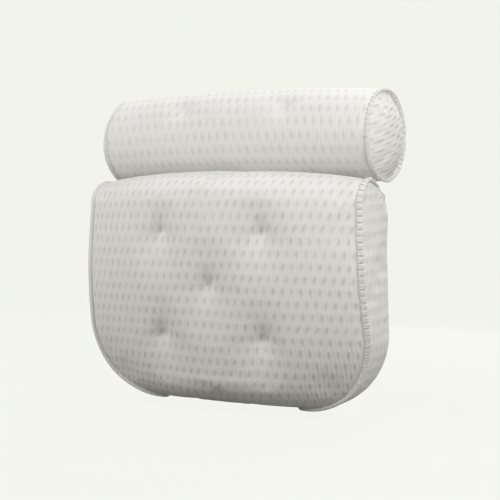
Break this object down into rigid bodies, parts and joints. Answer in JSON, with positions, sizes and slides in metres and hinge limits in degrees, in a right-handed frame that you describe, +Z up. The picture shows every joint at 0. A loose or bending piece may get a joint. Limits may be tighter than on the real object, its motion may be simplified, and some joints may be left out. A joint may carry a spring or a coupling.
{
  "type": "bath pillow",
  "caption": "Wedge-shaped tufted air-mesh back pad with a neck roll hinged along its top and suction cups behind, for resting head and shoulders in a bath.",
  "frame": {"origin": "on the bath wall that the pad's cups press on, midway between the four cups behind the pad", "axes": "+X to the right seen from the front, +Y into the bath wall, +Z up along the wall towards the neck roll"},
  "size_m": [0.3772, 0.1708, 0.3753],
  "materials": {
    "air_mesh": "white knitted air mesh with rows of slit dimples",
    "back_mesh": "plain white mesh",
    "binding_tape": "woven tape, whip-stitched",
    "spacer_mesh": "open spacer mesh",
    "fibre_fill": "loose fibre",
    "thread": "twisted thread",
    "clear_pvc": "clear moulded PVC",
    "eyelet_plastic": "white moulded plastic"
  },
  "bodies": {
    "pad": {"pad_cover": "air_mesh", "pad_back_panel": "back_mesh", "pad_gusset_left": "air_mesh", "pad_gusset_right": "air_mesh", "pad_binding_left": "binding_tape", "pad_binding_right": "binding_tape", "pad_core_back": "spacer_mesh", "pad_core_middle": "spacer_mesh", "pad_core_front": "spacer_mesh", "pad_tuft_upper_left": "thread", "pad_tuft_upper_right": "thread", "pad_tuft_centre": "thread", "pad_tuft_lower_left": "thread", "pad_tuft_lower_right": "thread", "pad_eyelet_upper_left": "eyelet_plastic", "pad_eyelet_upper_right": "eyelet_plastic", "pad_eyelet_lower_left": "eyelet_plastic", "pad_eyelet_lower_right": "eyelet_plastic", "hinge_strip": "binding_tape"},
    "neck_roll": {"roll_cover": "air_mesh", "roll_core": "fibre_fill", "roll_end_panel_left": "air_mesh", "roll_end_panel_right": "air_mesh", "roll_binding_left": "binding_tape", "roll_binding_right": "binding_tape", "roll_tuft_left": "thread", "roll_tuft_right": "thread", "roll_eyelet_left": "eyelet_plastic", "roll_eyelet_right": "eyelet_plastic"},
    "upper_left_cup": {"pad_cup_upper_left": "clear_pvc"},
    "upper_right_cup": {"pad_cup_upper_right": "clear_pvc"},
    "lower_left_cup": {"pad_cup_lower_left": "clear_pvc"},
    "lower_right_cup": {"pad_cup_lower_right": "clear_pvc"},
    "left_roll_cup": {"roll_cup_left": "clear_pvc"},
    "right_roll_cup": {"roll_cup_right": "clear_pvc"}
  },
  "joints": [
    {"name": "roll_fold", "type": "hinge", "parent": "pad", "child": "neck_roll", "pos_m": [0, -0.03, 0.13039], "axis": [-1, 0, 0], "range_deg": [-8, 45]},
    {"name": "upper_left_cup_turn", "type": "hinge", "parent": "pad", "child": "upper_left_cup", "pos_m": [-0.105, -0.02, 0.065], "axis": [0, 1, 0], "continuous": true},
    {"name": "upper_right_cup_turn", "type": "hinge", "parent": "pad", "child": "upper_right_cup", "pos_m": [0.105, -0.02, 0.065], "axis": [0, 1, 0], "continuous": true},
    {"name": "lower_left_cup_turn", "type": "hinge", "parent": "pad", "child": "lower_left_cup", "pos_m": [-0.105, -0.02, -0.065], "axis": [0, 1, 0], "continuous": true},
    {"name": "lower_right_cup_turn", "type": "hinge", "parent": "pad", "child": "lower_right_cup", "pos_m": [0.105, -0.02, -0.065], "axis": [0, 1, 0], "continuous": true},
    {"name": "left_roll_cup_turn", "type": "hinge", "parent": "neck_roll", "child": "left_roll_cup", "pos_m": [-0.105, 0.02383, 0.18669], "axis": [0, 1, 0], "continuous": true},
    {"name": "right_roll_cup_turn", "type": "hinge", "parent": "neck_roll", "child": "right_roll_cup", "pos_m": [0.105, 0.02383, 0.18669], "axis": [0, 1, 0], "continuous": true}
  ]
}
